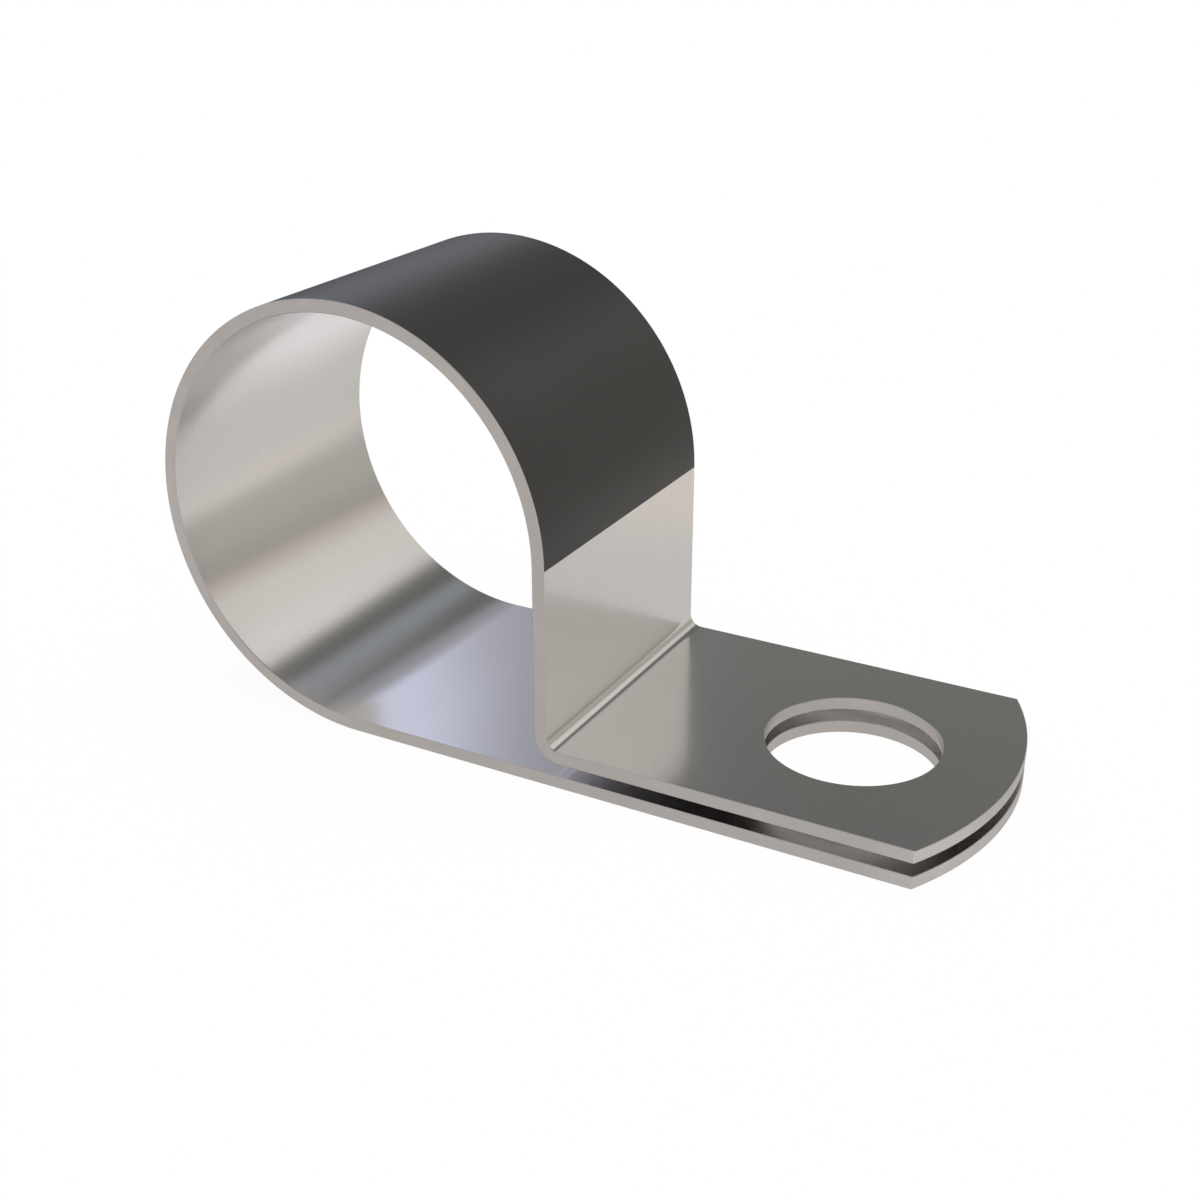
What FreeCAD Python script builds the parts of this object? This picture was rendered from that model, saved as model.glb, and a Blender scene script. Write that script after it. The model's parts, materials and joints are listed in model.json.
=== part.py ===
"""P clip: one strip of stainless steel, pierced, rounded at its ends and folded round into a P.

The long leg lies flat on the panel. From its far end the strip rolls up and over into the round loop
that holds a cable or pipe, comes straight down as the wall, and folds outwards into the short foot
above the leg. One bolt goes down through foot and leg and draws the slit between them shut.

Millimetres. The origin is the bolt hole's centre on the face that meets the panel. +Z is up from
the panel, +X runs along the strip, away from the loop, and +Y runs across it, along the cable.
"""
import math
import os

import FreeCAD
import Part

# The strip
strip_width = 12.0
strip_thickness = 0.5
edge_break = 0.02

# The loop, and how far its axis stands from the bolt
loop_bore = 16.0
bolt_to_loop = 18.0

# The fold between wall and foot, and the slit that the bolt draws shut
fold_inside_radius = 0.5
slit = 0.5

# The bolt hole, and the rounded end beyond it
bolt_hole_diameter = 6.5
bolt_to_end = 6.0
end_radius = 12.0

# Two faces that meet at a sharper corner than this are a cut edge, and smoother ones are a bend
sharp_corner = math.radians(45)

# Worked out from the sizes above: radii, levels and places in the side view
bore_radius = loop_bore / 2
loop_radius = bore_radius + strip_thickness
loop_x = -bolt_to_loop
loop_z = loop_radius
wall_inside_x = loop_x + bore_radius
wall_outside_x = loop_x + loop_radius
leg_top = strip_thickness
foot_bottom = leg_top + slit
foot_top = foot_bottom + strip_thickness
fold_outside_radius = fold_inside_radius + strip_thickness
fold_x = wall_outside_x + fold_inside_radius
fold_z = foot_top + fold_inside_radius


def side_point(x, z):
    """A point of the strip's side view, on its near edge."""
    return FreeCAD.Vector(x, -strip_width / 2, z)


def straight(start, end):
    return Part.LineSegment(start, end).toShape()


def arc_about(centre_x, centre_z, radius, start_degrees, end_degrees):
    """An arc of the side view. Its angles run from +X up towards +Z."""
    points = []
    for degrees in (start_degrees, (start_degrees + end_degrees) / 2, end_degrees):
        angle = math.radians(degrees)
        points.append(side_point(centre_x + radius * math.cos(angle), centre_z + radius * math.sin(angle)))
    return Part.Arc(*points).toShape()


def loop_arc(radius):
    """From the leg round the back and over the top to the wall, three quarters of a turn."""
    return arc_about(loop_x, loop_z, radius, 270, 0)


def fold_arc(radius):
    """The quarter turn from the wall out into the foot."""
    return arc_about(fold_x, fold_z, radius, 180, 270)


def folded_section():
    """The strip seen edge on: out along one face of it, and back along the other."""
    outer_face = [
        straight(side_point(bolt_to_end, 0), side_point(loop_x, 0)),
        loop_arc(loop_radius),
        straight(side_point(wall_outside_x, loop_z), side_point(wall_outside_x, fold_z)),
        fold_arc(fold_inside_radius),
        straight(side_point(fold_x, foot_top), side_point(bolt_to_end, foot_top)),
    ]
    foot_end = straight(side_point(bolt_to_end, foot_top), side_point(bolt_to_end, foot_bottom))
    inner_face = [
        straight(side_point(bolt_to_end, foot_bottom), side_point(fold_x, foot_bottom)),
        fold_arc(fold_outside_radius),
        straight(side_point(wall_inside_x, fold_z), side_point(wall_inside_x, loop_z)),
        loop_arc(bore_radius),
        straight(side_point(loop_x, leg_top), side_point(bolt_to_end, leg_top)),
    ]
    leg_end = straight(side_point(bolt_to_end, leg_top), side_point(bolt_to_end, 0))
    return Part.Face(Part.Wire(outer_face + [foot_end] + inner_face + [leg_end]))


def folded_strip():
    return folded_section().extrude(FreeCAD.Vector(0, strip_width, 0))


def rounded_end():
    """The strip's outline from above: straight sides, and one arc that ends both leg and foot."""
    half_width = strip_width / 2
    arc_centre_x = bolt_to_end - end_radius
    corner_x = arc_centre_x + math.sqrt(end_radius ** 2 - half_width ** 2)
    back_x = loop_x - 2 * loop_radius
    below = -loop_radius
    corners = [
        FreeCAD.Vector(corner_x, half_width, below),
        FreeCAD.Vector(back_x, half_width, below),
        FreeCAD.Vector(back_x, -half_width, below),
        FreeCAD.Vector(corner_x, -half_width, below),
    ]
    sides = [straight(start, end) for start, end in zip(corners, corners[1:])]
    end = Part.Arc(corners[-1], FreeCAD.Vector(bolt_to_end, 0, below), corners[0]).toShape()
    outline = Part.Face(Part.Wire(sides + [end]))
    return outline.extrude(FreeCAD.Vector(0, 0, 4 * loop_radius))


def bolt_hole():
    """The punch that goes through foot and leg, so that the two holes line up."""
    below = FreeCAD.Vector(0, 0, -foot_top)
    return Part.makeCylinder(bolt_hole_diameter / 2, 3 * foot_top, below)


def cut_edges(strip):
    """Every edge that the press leaves: along the sides, round the ends and round the holes."""
    found = []
    for edge in strip.Edges:
        faces = strip.ancestorsOfType(edge, Part.Face)
        if len(faces) < 2:
            continue
        middle = edge.valueAt((edge.FirstParameter + edge.LastParameter) / 2)
        one_way, other_way = [face.normalAt(*face.Surface.parameter(middle)) for face in faces]
        if one_way.getAngle(other_way) > sharp_corner:
            found.append(edge)
    return found


def p_clip():
    strip = folded_strip().common(rounded_end()).cut(bolt_hole())
    bevel = min(edge_break, strip_thickness / 4)
    return strip.makeChamfer(bevel, cut_edges(strip)).Solids[0]


def main():
    os.makedirs("parts", exist_ok=True)
    strap = p_clip()
    strap.exportStep("parts/strap.step")
    size = strap.optimalBoundingBox()
    print("strap: valid", strap.isValid(), "volume", round(strap.Volume, 3), "mm3, size",
          round(size.XLength, 3), round(size.YLength, 3), round(size.ZLength, 3), "mm")


main()
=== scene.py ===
import json
import math

import bpy
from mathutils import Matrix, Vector


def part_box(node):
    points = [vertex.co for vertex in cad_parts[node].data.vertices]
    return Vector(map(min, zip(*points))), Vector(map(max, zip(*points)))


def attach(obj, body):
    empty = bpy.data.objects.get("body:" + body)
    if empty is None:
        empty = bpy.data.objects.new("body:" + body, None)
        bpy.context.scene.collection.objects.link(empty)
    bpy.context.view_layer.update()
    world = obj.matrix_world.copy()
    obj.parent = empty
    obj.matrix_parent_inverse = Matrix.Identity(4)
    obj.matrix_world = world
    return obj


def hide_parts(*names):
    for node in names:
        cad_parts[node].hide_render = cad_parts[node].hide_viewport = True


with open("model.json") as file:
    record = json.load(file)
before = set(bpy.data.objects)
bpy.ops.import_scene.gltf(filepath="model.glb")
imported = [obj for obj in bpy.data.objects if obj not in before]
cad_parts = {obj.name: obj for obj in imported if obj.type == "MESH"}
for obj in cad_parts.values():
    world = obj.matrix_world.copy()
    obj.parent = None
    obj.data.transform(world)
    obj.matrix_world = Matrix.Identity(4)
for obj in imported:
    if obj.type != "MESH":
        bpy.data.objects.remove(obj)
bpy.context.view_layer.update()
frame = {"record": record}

mm = 0.001
white = (1.0, 1.0, 1.0, 1.0)


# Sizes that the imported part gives, in metres

def partSizes():
    mounts = {mount["name"]: mount for mount in frame["record"]["mounts"]}
    low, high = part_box("strap")
    loop = mounts["cable_loop"]
    bore = loop["dims"]["r_mm"] * mm
    thickness = loop["pos_m"][2] - bore                     # the loop stands on its own wall
    stack = mounts["bolt_hole"]["dims"]["length_mm"] * mm   # leg, slit and foot
    return {
        "Strip Width": high.y - low.y,
        "Strip Thickness": thickness,
        "Slit": stack - 2 * thickness,
        "Loop Bore Radius": bore,
        "Bolt To Loop": -loop["pos_m"][0],
        "Bolt To End": high.x,
        "Bolt Hole Radius": mounts["bolt_hole"]["dims"]["r_mm"] * mm,
    }


# Nodes, for materials, the world and geometry alike

class Plug:                                     # an output socket that sums can be written with
    def __init__(self, graph, socket):
        self.graph = graph
        self.socket = socket

    def maths(self, operation, *others):
        return self.graph.maths(operation, self, *others)

    def out(self, name):                        # another output of the same node
        return Plug(self.graph, self.socket.node.outputs[name])

    def __add__(self, other):
        return self.maths("ADD", other)

    def __radd__(self, other):
        return self.maths("ADD", other)

    def __sub__(self, other):
        return self.maths("SUBTRACT", other)

    def __rsub__(self, other):
        return self.graph.maths("SUBTRACT", other, self)

    def __mul__(self, other):
        return self.maths("MULTIPLY", other)

    def __rmul__(self, other):
        return self.maths("MULTIPLY", other)

    def __truediv__(self, other):
        return self.maths("DIVIDE", other)

    def __rtruediv__(self, other):
        return self.graph.maths("DIVIDE", other, self)

    def __gt__(self, other):
        return self.maths("GREATER_THAN", other)

    def __lt__(self, other):
        return self.maths("LESS_THAN", other)


class Graph:                                    # a node tree, and the one way that nodes go into it
    def __init__(self, tree):
        self.tree = tree

    def add(self, kind, settings=None, inputs=None, output=0):
        node = self.tree.nodes.new(kind)
        for name, value in (settings or {}).items():
            setattr(node, name, value)
        for name, value in (inputs or {}).items():
            for source in value if isinstance(value, list) else [value]:
                if isinstance(source, Plug):
                    self.tree.links.new(source.socket, node.inputs[name])
                else:
                    node.inputs[name].default_value = source
        return Plug(self, node.outputs[output]) if len(node.outputs) else node

    def maths(self, operation, *values):
        return self.add("ShaderNodeMath", {"operation": operation}, dict(enumerate(values)))

    def vector(self, x, y, z):
        return self.add("ShaderNodeCombineXYZ", None, {"X": x, "Y": y, "Z": z})

    def parts(self, vector):
        x = self.add("ShaderNodeSeparateXYZ", None, {0: vector})
        return x, x.out("Y"), x.out("Z")

    def mixColour(self, factor, first, second):
        return self.add("ShaderNodeMix", {"data_type": "RGBA"}, {0: factor, 6: first, 7: second}, 2)

    def noise(self, place, scale, detail):
        return self.add("ShaderNodeTexNoise", None, {"Vector": place, "Scale": scale, "Detail": detail})

    def ramp(self, value, low, high):           # 0 at low, 1 at high, and smooth between
        settings = {"interpolation_type": "SMOOTHSTEP"}
        return self.add("ShaderNodeMapRange", settings, {"Value": value, "From Min": low, "From Max": high})


def newMaterial(name):
    material = bpy.data.materials.new(name)
    material.use_nodes = True
    material.node_tree.nodes.clear()
    return material, Graph(material.node_tree)


# The strip's three finishes

steelValues = {
    "colour": (0.797, 0.785, 0.782, 1.0),
    "fleck": (0.744, 0.732, 0.729, 1.0),
    "stain": (0.714, 0.687, 0.666, 1.0),
    "edgeTint": (0.92, 0.92, 0.92, 1.0),        # at a grazing angle it mirrors a little less
    "fleckFrom": (0.3, 0.7),                    # how the noise turns one tone into the next
    "stainFrom": (0.45, 0.85),
    "stainMost": 0.25,
    "roughness": 0.195,
    "roughnessVaries": 0.05,
    "unevenBy": (0.6, 0.4, 0.6),                # grain, rolling lines, clouds
    "lineLength": 5.0 * mm,                     # rolling lines run along the strip
    "lineWidth": 0.06 * mm,
    "grainSize": 0.07 * mm,
    "grainDepth": 0.0005 * mm,
    "grainAndLines": (0.7, 0.3),
    "cloudScale": 140.0,
}

blackValues = {
    "colour": (0.0228, 0.0223, 0.0214, 1.0),
    "rubbed": (0.0355, 0.0347, 0.0335, 1.0),
    "rubbedFrom": (0.4, 0.9),
    "rubbedMost": 0.5,
    "specular": 0.54,
    "roughness": 0.41,
    "roughnessVaries": 0.06,
    "unevenBy": (1.0, 0.7),                     # grain, clouds
    "grainSize": 0.07 * mm,
    "grainDepth": 0.0012 * mm,
    "cloudScale": 180.0,
}

cutValues = {
    "colour": (0.602, 0.573, 0.560, 1.0),
    "burnished": steelValues["colour"],
    "burnishedFrom": (0.4, 0.8),
    "burnishedMost": 0.2,
    "roughness": 0.34,
    "roughnessVaries": 0.10,
    "scoreWidth": 0.06 * mm,                    # the punch scores lines through the thickness
    "scoreDepth": 0.0005 * mm,
    "cloudScale": 700.0,
}


def finishedSurface(g, colour, roughness, metallic, height, depth, more={}):
    bump = g.add("ShaderNodeBump", None, {"Height": height, "Distance": depth, "Strength": 1.0})
    shader = g.add("ShaderNodeBsdfPrincipled", None, {
        "Base Color": colour, "Roughness": roughness, "Metallic": metallic, "Normal": bump, **more})
    g.add("ShaderNodeOutputMaterial", None, {"Surface": shader})


def stripPlace(g):                              # along and across the strip as it lay flat, in metres
    along, across, _ = g.parts(g.add("ShaderNodeUVMap", {"uv_map": "strip"}))
    return along, across


def makeSteel(values):
    material, g = newMaterial("satinSteel")
    along, across = stripPlace(g)
    place = g.add("ShaderNodeTexCoord", None, None, "Object")
    lines = g.noise(g.vector(along / values["lineLength"], across / values["lineWidth"], 0.0), 1.0, 2.0)
    grain = g.noise(place, 1 / values["grainSize"], 2.0)
    clouds = g.noise(place, values["cloudScale"], 3.0)
    byGrain, byLines, byClouds = values["unevenBy"]
    uneven = (grain - 0.5) * byGrain + (lines - 0.5) * byLines + (clouds - 0.5) * byClouds
    roughness = values["roughness"] + uneven * values["roughnessVaries"]
    ofGrain, ofLines = values["grainAndLines"]
    rolled = grain * ofGrain + lines * ofLines
    tone = g.mixColour(g.ramp(rolled, *values["fleckFrom"]), values["colour"], values["fleck"])
    tone = g.mixColour(g.ramp(clouds, *values["stainFrom"]) * values["stainMost"], tone, values["stain"])
    edge = {"Specular Tint": values["edgeTint"]}
    finishedSurface(g, tone, roughness, 1.0, rolled, values["grainDepth"], edge)
    return material


def makeBlack(values):
    material, g = newMaterial("satinBlack")
    place = g.add("ShaderNodeTexCoord", None, None, "Object")
    grain = g.noise(place, 1 / values["grainSize"], 3.0)
    clouds = g.noise(place, values["cloudScale"], 3.0)
    byGrain, byClouds = values["unevenBy"]
    uneven = (grain - 0.5) * byGrain + (clouds - 0.5) * byClouds
    roughness = values["roughness"] + uneven * values["roughnessVaries"]
    rubbed = g.ramp(clouds, *values["rubbedFrom"]) * values["rubbedMost"]
    tone = g.mixColour(rubbed, values["colour"], values["rubbed"])
    sheen = {"Specular IOR Level": values["specular"]}
    finishedSurface(g, tone, roughness, 0.0, grain, values["grainDepth"], sheen)
    return material


def makeCut(values):
    material, g = newMaterial("cutEdge")
    along, across = stripPlace(g)
    place = g.add("ShaderNodeTexCoord", None, None, "Object")
    scores = g.noise(g.vector(along, across, 0.0), 1 / values["scoreWidth"], 2.0)
    clouds = g.noise(place, values["cloudScale"], 3.0)
    roughness = values["roughness"] + (scores - 0.5 + (clouds - 0.5)) * values["roughnessVaries"]
    burnished = g.ramp(clouds, *values["burnishedFrom"]) * values["burnishedMost"]
    tone = g.mixColour(burnished, values["colour"], values["burnished"])
    finishedSurface(g, tone, roughness, 1.0, scores, values["scoreDepth"])
    return material


# The strip: pierced and rounded while flat, given its thickness, then folded round

stripValues = {
    "Fold Inside Radius": 0.5 * mm,
    "End Radius": 12.0 * mm,
}

mergeWithin = 0.002 * mm                        # corners of neighbouring patches that are one

stripFaces = {
    "across": 16,
    "roundEnd": 28,
    "besideHole": 16,                           # along the strip, from the rounded end to past the hole
    "holeToRim": 5,
    "straight": 4,
    "loop": 120,
    "fold": 14,
}

edgeBreak = {
    "width": 0.02 * mm,
    "sharperThan": math.radians(40),            # corners that are broken
    "crispFrom": math.radians(20),              # corners that shading doesn't round over
}


def layPatch(g, aroundFaces, outwardFaces, rule):
    # a sheet of faces whose corners go where the rule puts them, both ways from 0 to 1
    sheet = g.add("GeometryNodeMeshGrid", None, {
        "Size X": 1.0, "Size Y": 1.0, "Vertices X": aroundFaces + 1, "Vertices Y": outwardFaces + 1})
    x, y, _ = g.parts(g.add("GeometryNodeInputPosition"))
    along, across = rule(x + 0.5, y + 0.5)
    return g.add("GeometryNodeSetPosition", None, {
        "Geometry": sheet, "Position": g.vector(along, across, 0.0)})


def holedEnd(g, size, faces):
    # four patches from the hole to the strip's outline, clockwise round the bolt
    half = size["Strip Width"] * 0.5
    hole = size["Bolt Hole Radius"]
    endRadius = size["End Radius"]
    toEnd = size["Bolt To End"]
    arcCentre = endRadius - toEnd
    arcHalf = (half / endRadius).maths("ARCSINE")
    toCorner = endRadius * arcHalf.maths("COSINE") - arcCentre
    cornerAngle = half.maths("ARCTAN2", toCorner)
    quarter = math.pi / 4

    def roundRim(t):
        angle = math.pi + arcHalf * (1 - 2 * t)
        return arcCentre + endRadius * angle.maths("COSINE"), endRadius * angle.maths("SINE")

    def upperSide(t):
        return (toCorner + half) * t - toCorner, half

    def seam(t):
        return half, half * (1 - 2 * t)

    def lowerSide(t):
        return half - (toCorner + half) * t, half * -1

    def holeToOutline(start, end, outline):
        def rule(t, outward):
            angle = start + (end - start) * t
            holeX, holeY = hole * angle.maths("COSINE"), hole * angle.maths("SINE")
            outlineX, outlineY = outline(t)
            return toEnd + holeX + (outlineX - holeX) * outward, holeY + (outlineY - holeY) * outward
        return rule

    stretches = [
        (faces["roundEnd"], math.pi + cornerAngle, math.pi - cornerAngle, roundRim),
        (faces["besideHole"], math.pi - cornerAngle, quarter, upperSide),
        (faces["across"], quarter, -quarter, seam),
        (faces["besideHole"], -quarter, cornerAngle - math.pi, lowerSide),
    ]
    return [layPatch(g, count, faces["holeToRim"], holeToOutline(start, end, outline))
            for count, start, end, outline in stretches]


def plainStretch(g, size, start, length, faces, across):
    width = size["Strip Width"]
    return layPatch(g, faces, across, lambda t, v: (start + length * t, width * (v - 0.5)))


def foldRule(g, flat, size, stretches):
    # follows the strip's middle from the leg's tip, and stands each point off it by its own height
    along, across, height = flat
    x, z = size["Bolt To End"], size["Strip Thickness"] * 0.5
    heading, passed, turned = math.pi, 0.0, math.pi
    for length, turn in stretches:
        step = (along - passed).maths("MAXIMUM", 0.0).maths("MINIMUM", length)
        if turn:
            after = heading + step * (turn / length)
            x = x + (after.maths("SINE") - math.sin(heading)) * (length / turn)
            z = z - (after.maths("COSINE") - math.cos(heading)) * (length / turn)
            turned = turned + step * (turn / length)
        else:
            x = x + step * math.cos(heading)
            z = z + step * math.sin(heading)
        heading = heading + turn
        passed = length + passed
    return g.vector(x - turned.maths("SINE") * height, across, z + turned.maths("COSINE") * height)


def stripTree(inputNames, steel, black, cut):
    tree = bpy.data.node_groups.new("foldedStrip", "GeometryNodeTree")
    for name in inputNames:
        tree.interface.new_socket(name, in_out="INPUT", socket_type="NodeSocketFloat")
    tree.interface.new_socket("Geometry", in_out="OUTPUT", socket_type="NodeSocketGeometry")
    g = Graph(tree)
    given = g.add("NodeGroupInput")
    size = {name: given.out(name) for name in inputNames}
    thickness = size["Strip Thickness"]
    half = size["Strip Width"] * 0.5

    # the stretches, from the leg's tip to the foot's, along the middle of the thickness
    loopRadius = size["Loop Bore Radius"] + thickness * 0.5
    foldRadius = size["Fold Inside Radius"] + thickness * 0.5
    leg = size["Bolt To End"] + size["Bolt To Loop"]
    loop = loopRadius * (1.5 * math.pi)
    wall = size["Loop Bore Radius"] - thickness - size["Slit"] - size["Fold Inside Radius"]
    fold = foldRadius * (0.5 * math.pi)
    foot = leg - size["Loop Bore Radius"] - thickness - size["Fold Inside Radius"]
    holed = size["Bolt To End"] + half                      # what an end's four patches cover
    whole = leg + loop + wall + fold + foot

    faces = stripFaces
    end = g.add("GeometryNodeJoinGeometry", None, {"Geometry": holedEnd(g, size, faces)})
    otherEnd = g.add("GeometryNodeTransform", None, {
        "Geometry": end, "Translation": g.vector(whole, 0.0, 0.0), "Rotation": (0.0, 0.0, math.pi)})
    plain = [
        (holed, leg - holed, faces["straight"]),
        (leg, loop, faces["loop"]),
        (leg + loop, wall, faces["straight"]),
        (leg + loop + wall, fold, faces["fold"]),
        (leg + loop + wall + fold, foot - holed, faces["straight"]),
    ]
    sheets = [plainStretch(g, size, start, length, count, faces["across"])
              for start, length, count in plain]
    blank = g.add("GeometryNodeJoinGeometry", None, {"Geometry": [end, otherEnd] + sheets})
    blank = g.add("GeometryNodeMergeByDistance", None, {"Geometry": blank, "Distance": mergeWithin})

    # the blank's thickness: its face is lifted, and its back closes it
    lifted = g.add("GeometryNodeExtrudeMesh", None, {
        "Mesh": blank, "Offset": (0.0, 0.0, 1.0), "Offset Scale": thickness, "Individual": False})
    back = g.add("GeometryNodeFlipFaces", None, {"Mesh": blank})
    solid = g.add("GeometryNodeJoinGeometry", None, {"Geometry": [lifted, back]})
    solid = g.add("GeometryNodeMergeByDistance", None, {"Geometry": solid, "Distance": mergeWithin})
    solid = g.add("GeometryNodeSetPosition", None, {
        "Geometry": solid, "Offset": g.vector(0.0, 0.0, thickness * -0.5)})

    # each face's finish, told while the strip is flat
    place = g.add("GeometryNodeInputPosition")
    flat = g.parts(place)
    facing = g.parts(g.add("GeometryNodeInputNormal"))[2]
    onLoop = (flat[0] > leg).maths("MULTIPLY", flat[0] < leg + loop)
    solid = g.add("GeometryNodeStoreNamedAttribute", {"data_type": "FLOAT2", "domain": "CORNER"},
                  {"Geometry": solid, "Name": "strip", "Value": place})
    solid = g.add("GeometryNodeSetMaterial", None, {"Geometry": solid, "Material": steel})
    solid = g.add("GeometryNodeSetMaterial", None, {
        "Geometry": solid, "Selection": onLoop * (facing > 0.5), "Material": black})
    solid = g.add("GeometryNodeSetMaterial", None, {
        "Geometry": solid, "Selection": facing.maths("ABSOLUTE") < 0.5, "Material": cut})

    quarterTurn = math.pi / 2
    folded = foldRule(g, flat, size, [
        (leg, 0), (loop, -3 * quarterTurn), (wall, 0), (fold, quarterTurn), (foot, 0)])
    solid = g.add("GeometryNodeSetPosition", None, {"Geometry": solid, "Position": folded})
    solid = g.add("GeometryNodeSetShadeSmooth", None, {"Geometry": solid, "Shade Smooth": True})
    solid = g.add("GeometryNodeRealizeInstances", None, {"Geometry": solid})
    g.add("NodeGroupOutput", None, {"Geometry": solid})
    return tree


def asMesh(maker):                              # what a maker's modifiers give, as a plain mesh
    depsgraph = bpy.context.evaluated_depsgraph_get()
    mesh = bpy.data.meshes.new_from_object(maker.evaluated_get(depsgraph))
    bpy.data.objects.remove(maker)
    return mesh


def makerObject(name, mesh):
    maker = bpy.data.objects.new(name, mesh)
    bpy.context.scene.collection.objects.link(maker)
    return maker


def makeStrip():
    sizes = {**partSizes(), **stripValues}
    finishes = [makeSteel(steelValues), makeBlack(blackValues), makeCut(cutValues)]
    maker = makerObject("stripMaker", bpy.data.meshes.new("stripMaker"))
    nodes = maker.modifiers.new("fold", "NODES")
    nodes.node_group = stripTree(list(sizes), *finishes)
    for item in nodes.node_group.interface.items_tree:
        if item.in_out == "INPUT":
            nodes[item.identifier] = sizes[item.name]
    mesh = asMesh(maker)
    finishOf = [finishes.index(mesh.materials[face.material_index]) for face in mesh.polygons]
    mesh.materials.clear()                      # Set Material leaves an empty first slot
    for finish in finishes:
        mesh.materials.append(finish)
    mesh.polygons.foreach_set("material_index", finishOf)

    maker = makerObject("edgeMaker", mesh)
    bevel = maker.modifiers.new("edgeBreak", "BEVEL")
    bevel.width = edgeBreak["width"]
    bevel.angle_limit = edgeBreak["sharperThan"]
    bevel.material = len(finishes) - 1          # the cut edge's finish
    mesh = asMesh(maker)
    mesh.name = "foldedStrip"
    mesh.set_sharp_from_angle(angle=edgeBreak["crispFrom"])
    return makerObject("foldedStrip", mesh)


strip = makeStrip()
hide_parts("strap")
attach(strip, "root")
print("strip folded:", len(strip.data.polygons), "faces,",
      [material.name for material in strip.data.materials])


# The studio: what the polished faces see, a floor, and one soft lamp overhead

studioValues = {
    "horizonRight": (0.486, 0.472, 0.434, 1.0),
    "horizonLeft": (0.06, 0.06, 0.06, 1.0),
    "horizonFront": (0.70, 0.673, 0.645, 1.0),
    "leftFrom": (-10, 30),                      # bearings between which one horizon turns into the next
    "frontFrom": (95, 130),
    "ceiling": (0.119, 0.122, 0.112, 1.0),
    "ceilingFrom": 4,
    "ceilingTo": 36,
    "overhead": (0.66, 0.66, 0.66, 1.0),        # the lamp's own soft box, as the polished faces see it
    "overheadFrom": (50, 64),
    "lampSize": 0.30,
    "lampAt": (-0.02, 0.0, 0.45),
    "lampPower": 1.35,
}

# soft windows, in degrees: bearings from +Y towards -X, heights above the floor, softness, colour
windows = [
    (-62, -12.2, 21.7, 56, 4.8, (0.762, 0.733, 0.684, 1.0)),
    (-62, -12.2, 39.3, 54, 2.4, (0.865, 0.839, 0.837, 1.0)),
    (-62, -30, 19.7, 21, 2.6, (0.925, 0.695, 0.580, 1.0)),
    (7, 25, 12, 29, 4, (0.205, 0.217, 0.192, 1.0)),
    (26, 84, 9.5, 19, 3.2, (1.13, 1.15, 1.17, 1.0)),
    (13, 24, 39.6, 60, 2.1, (0.302, 0.314, 0.328, 1.0)),
    (4.2, 15, 37.0, 60, 2.0, (0.318, 0.340, 0.370, 1.0)),
    (25.9, 60, 24, 60, 1.4, (0.340, 0.342, 0.372, 1.0)),
    (29.0, 34, 19, 26.0, 2.5, (0.430, 0.438, 0.490, 1.0)),
    (33.9, 100, 12, 35.0, 2.2, (0.895, 0.935, 1.165, 1.0)),
    (-150, -105, 14, 46, 8, (0.795, 0.795, 0.804, 1.0)),
    (118, 165, 20, 62, 8, (0.62, 0.62, 0.63, 1.0)),
]

floorValues = {
    "colour": (0.93, 0.925, 0.92, 1.0),
    "paintedFloorReflection": (0.664, 0.645, 0.618, 1.0),      # painted reflection: the floor's glow as the polished faces see it
    "middle": (-10 * mm, 0.0),                  # under the clip's middle; the reaches below start there
    "distant": (18 * mm, 75 * mm),
    "whiteNear": 0.96,                          # how much of the floor's own shade the view leaves out
    "whiteFar": 1.0,
    "whitens": (30 * mm, 90 * mm),
    "size": 1.6,
    "below": 0.02 * mm,
}

# painted pools of light on that floor, which only the polished faces see: centre, how far out it is full and
# where it is gone, how many times as long as wide, colour
paintedLightPools = [
    (-36.3 * mm, 15.4 * mm, 10.8 * mm, 17.6 * mm, 1.0, (0.935, 0.912, 0.913, 1.0)),
    (0.0 * mm, 26.0 * mm, 3.0 * mm, 13.0 * mm, 1.0, (0.785, 0.725, 0.660, 1.0)),
    (14.0 * mm, -9.0 * mm, 6.0 * mm, 13.0 * mm, 1.0, (0.95, 0.93, 0.92, 1.0)),
    (-43.0 * mm, -25.0 * mm, 8.0 * mm, 22.0 * mm, 1.0, (0.745, 0.722, 0.703, 1.0)),
    (-22.0 * mm, 8.5 * mm, 0.5 * mm, 3.5 * mm, 1.0, (0.785, 0.755, 0.735, 1.0)),
    (0.6 * mm, -2.2 * mm, 1.0 * mm, 2.4 * mm, 2.1, (1.06, 0.99, 0.95, 1.0)),
    (-3.0 * mm, 6.9 * mm, 1.2 * mm, 2.0 * mm, 2.8, (1.12, 1.055, 1.02, 1.0)),
]


def seenAsBackground(g):                        # 1 for the camera's own rays, and those in metal and glass
    ray = g.add("ShaderNodeLightPath", None, None, "Is Camera Ray")
    return (ray + ray.out("Is Glossy Ray") + ray.out("Is Transmission Ray")).maths("MINIMUM", 1.0), ray


def bearingOf(g, x, y):                         # degrees from +Y towards -X
    return (x * -1).maths("ARCTAN2", y) * (180 / math.pi)


def horizonColour(g, bearing, values):
    behind = g.mixColour(g.ramp(bearing, *values["leftFrom"]), values["horizonRight"], values["horizonLeft"])
    front = g.ramp(bearing.maths("ABSOLUTE"), *values["frontFrom"])
    return g.mixColour(front, behind, values["horizonFront"])


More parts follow.
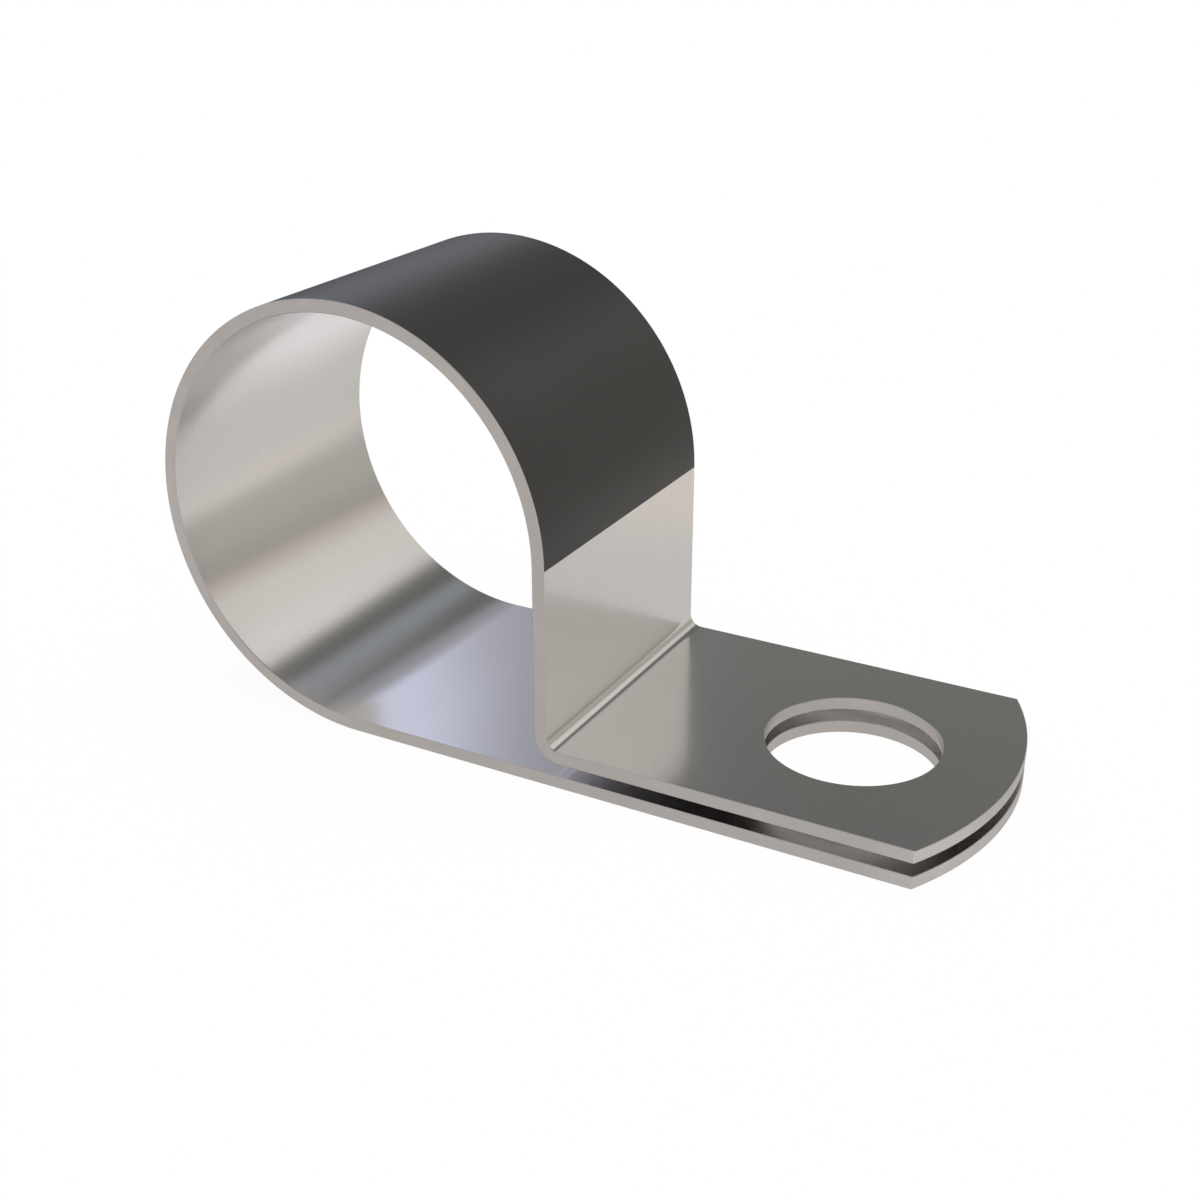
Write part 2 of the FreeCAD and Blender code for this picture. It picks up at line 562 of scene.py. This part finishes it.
def makeStudio(values):
    world = bpy.data.worlds.new("studio")
    world.use_nodes = True
    world.node_tree.nodes.clear()
    bpy.context.scene.world = world
    g = Graph(world.node_tree)
    x, y, z = g.parts(g.add("ShaderNodeTexCoord", None, None, "Generated"))
    bearing = bearingOf(g, x, y)
    height = z.maths("ARCSINE") * (180 / math.pi)
    light = g.mixColour(g.ramp(height, values["ceilingFrom"], values["ceilingTo"]),
                        horizonColour(g, bearing, values), values["ceiling"])
    for left, right, low, high, soft, colour in windows:
        wide = g.ramp(bearing, left - soft, left + soft) * g.ramp(bearing, right + soft, right - soft)
        tall = g.ramp(height, low - soft, low + soft) * g.ramp(height, high + soft, high - soft)
        light = g.mixColour(wide * tall, light, colour)
    light = g.mixColour(g.ramp(height, *values["overheadFrom"]), light, values["overhead"])
    ray = g.add("ShaderNodeLightPath", None, None, "Is Camera Ray")
    light = g.mixColour(ray, light, white)
    shown = g.add("ShaderNodeBackground", None, {"Color": light, "Strength": 1.0})
    g.add("ShaderNodeOutputWorld", None, {"Surface": shown})

    lamp = bpy.data.lights.new("softLamp", "AREA")
    lamp.shape = "SQUARE"
    lamp.size = values["lampSize"]
    lamp.energy = values["lampPower"]
    lampObject = bpy.data.objects.new("softLamp", lamp)
    lampObject.location = values["lampAt"]
    lampObject.visible_glossy = False           # or the foot, seen from above, would show it as a white blaze
    bpy.context.scene.collection.objects.link(lampObject)


def makeFloor(values):
    material, g = newMaterial("paleFloor")
    seen, ray = seenAsBackground(g)
    x, y, _ = g.parts(g.add("ShaderNodeTexCoord", None, None, "Object"))

    def awayFrom(centreX, centreY, stretch=1.0):
        alongX, alongY = (x - centreX) * (1 / stretch), y - centreY
        return (alongX * alongX + alongY * alongY).maths("SQRT")

    away = awayFrom(*values["middle"])
    horizon = horizonColour(g, bearingOf(g, x, y), studioValues)
    # painted reflection of the floor: a flat grey near the clip that fades into the horizon colours further
    # out
    paintedFloorReflection = g.mixColour(g.ramp(away, *values["distant"]), values["paintedFloorReflection"], horizon)
    # painted pools of light, laid over the floor's painted reflection
    for poolX, poolY, full, gone, stretch, colour in paintedLightPools:
        paintedFloorReflection = g.mixColour(g.ramp(awayFrom(poolX, poolY, stretch), gone, full), paintedFloorReflection, colour)
    further = g.ramp(away, *values["whitens"]) * (values["whiteFar"] - values["whiteNear"])
    shade = g.add("ShaderNodeBsdfDiffuse", None, {"Color": values["colour"]})
    glow = g.add("ShaderNodeEmission", None, {"Color": g.mixColour(ray, paintedFloorReflection, white), "Strength": 1.0})
    share = seen * (further + values["whiteNear"])
    shown = g.add("ShaderNodeMixShader", None, {0: share, 1: shade, 2: glow})
    g.add("ShaderNodeOutputMaterial", None, {"Surface": shown})

    reach, level = values["size"] / 2, -values["below"]
    corners = [(-reach, -reach, level), (reach, -reach, level), (reach, reach, level), (-reach, reach, level)]
    mesh = bpy.data.meshes.new("floor")
    mesh.from_pydata(corners, [], [(0, 1, 2, 3)])
    mesh.materials.append(material)
    floor = bpy.data.objects.new("floor", mesh)
    bpy.context.scene.collection.objects.link(floor)


makeStudio(studioValues)
makeFloor(floorValues)
print("studio lit")


# The camera, where the photograph was taken from

cameraValues = {
    "eye": (17.365 * mm, -51.238 * mm, 31.663 * mm),
    "forward": (-0.43477, 0.7976, -0.41811),
    "lens": 50.0,
    "sensor": 36.0,
    "seesFrom": 1 * mm,
}


def makeCamera(values):
    camera = bpy.data.cameras.new("camera")
    camera.lens = values["lens"]
    camera.sensor_width = values["sensor"]
    camera.clip_start = values["seesFrom"]
    cameraObject = bpy.data.objects.new("camera", camera)
    cameraObject.location = values["eye"]
    cameraObject.rotation_euler = Vector(values["forward"]).to_track_quat("-Z", "Y").to_euler()
    bpy.context.scene.collection.objects.link(cameraObject)
    bpy.context.scene.camera = cameraObject


makeCamera(cameraValues)
bpy.context.scene.view_settings.view_transform = "Standard"
lightBounces = 16                               # to and fro in the slit between leg and foot
bpy.context.scene.cycles.max_bounces = lightBounces
bpy.context.scene.cycles.glossy_bounces = lightBounces
